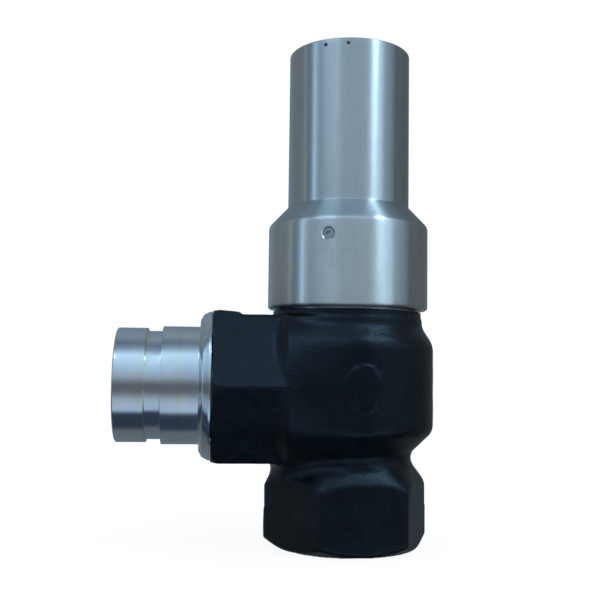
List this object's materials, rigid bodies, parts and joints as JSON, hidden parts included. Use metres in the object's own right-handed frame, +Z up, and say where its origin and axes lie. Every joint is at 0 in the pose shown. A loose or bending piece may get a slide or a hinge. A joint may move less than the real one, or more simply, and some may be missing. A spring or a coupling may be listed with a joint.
{
  "type": "minimum pressure valve",
  "caption": "Upright angle valve: hexagon threaded inlet below, grooved pipe outlet at the side, tall spring housing above a lifting check plate.",
  "frame": {"origin": "on the valve's axis at the mouth of the inlet thread, level with the face of the inlet hexagon", "axes": "+Z up along the inlet, piston and spring axis; -X out of the side outlet"},
  "size_m": [0.1691, 0.0938, 0.2664],
  "materials": {
    "casting_paint": "satin black paint on a sand casting",
    "turned_aluminium": "fine turned, clear anodised",
    "zinc_plate": "turned steel, bright zinc plated",
    "bronze": "turned bearing bronze",
    "black_rubber": "matt moulded rubber",
    "spring_steel": "drawn spring wire",
    "guide_plastic": "filled low-friction plastic",
    "dark_screw": "black oxide",
    "machined_steel": "turned steel",
    "machined_brass": "turned brass"
  },
  "bodies": {
    "housing": {"valve_body": "casting_paint", "seat_ring": "machined_brass", "guide_sleeve": "bronze", "sleeve_o_ring": "black_rubber", "bonnet": "turned_aluminium", "bonnet_o_ring": "black_rubber", "bonnet_set_screw": "dark_screw", "outlet_nipple": "zinc_plate", "nipple_o_ring": "black_rubber", "lock_nut": "zinc_plate", "main_spring": "spring_steel"},
    "piston_group": {"piston": "turned_aluminium", "piston_o_ring": "black_rubber", "guide_ring_lower": "guide_plastic", "guide_ring_upper": "guide_plastic", "check_spring": "spring_steel"},
    "valve_disc": {"valve_plate": "turned_aluminium", "plate_seal": "black_rubber", "seal_retainer": "machined_steel", "seal_screw": "dark_screw"},
    "spring_seat": {"upper_spring_seat": "machined_steel", "thrust_ball": "machined_steel"},
    "adjuster": {"adjusting_screw": "dark_screw"}
  },
  "joints": [
    {"name": "piston_lift", "type": "slide", "parent": "housing", "child": "piston_group", "axis": [0, 0, 1], "range_m": [0, 0.012], "stiffness_N_per_m": 26000, "deforming": ["main_spring"]},
    {"name": "plate_lift", "type": "slide", "parent": "housing", "child": "valve_disc", "axis": [0, 0, 1], "range_m": [0, 0.012]},
    {"name": "adjuster_travel", "type": "slide", "parent": "housing", "child": "spring_seat", "axis": [0, 0, 1], "range_m": [-0.006, 0.002], "deforming": ["main_spring"]},
    {"name": "adjuster_turn", "type": "hinge", "parent": "spring_seat", "child": "adjuster", "pos_m": [0, 0, 0.25], "axis": [0, 0, 1], "range_deg": [-1080, 360]}
  ],
  "couplings": [
    {"joint": "plate_lift", "follows": "piston_lift", "ratio": 1},
    {"joint": "adjuster_travel", "follows": "adjuster_turn", "m_per_rad": 0.0003183}
  ]
}
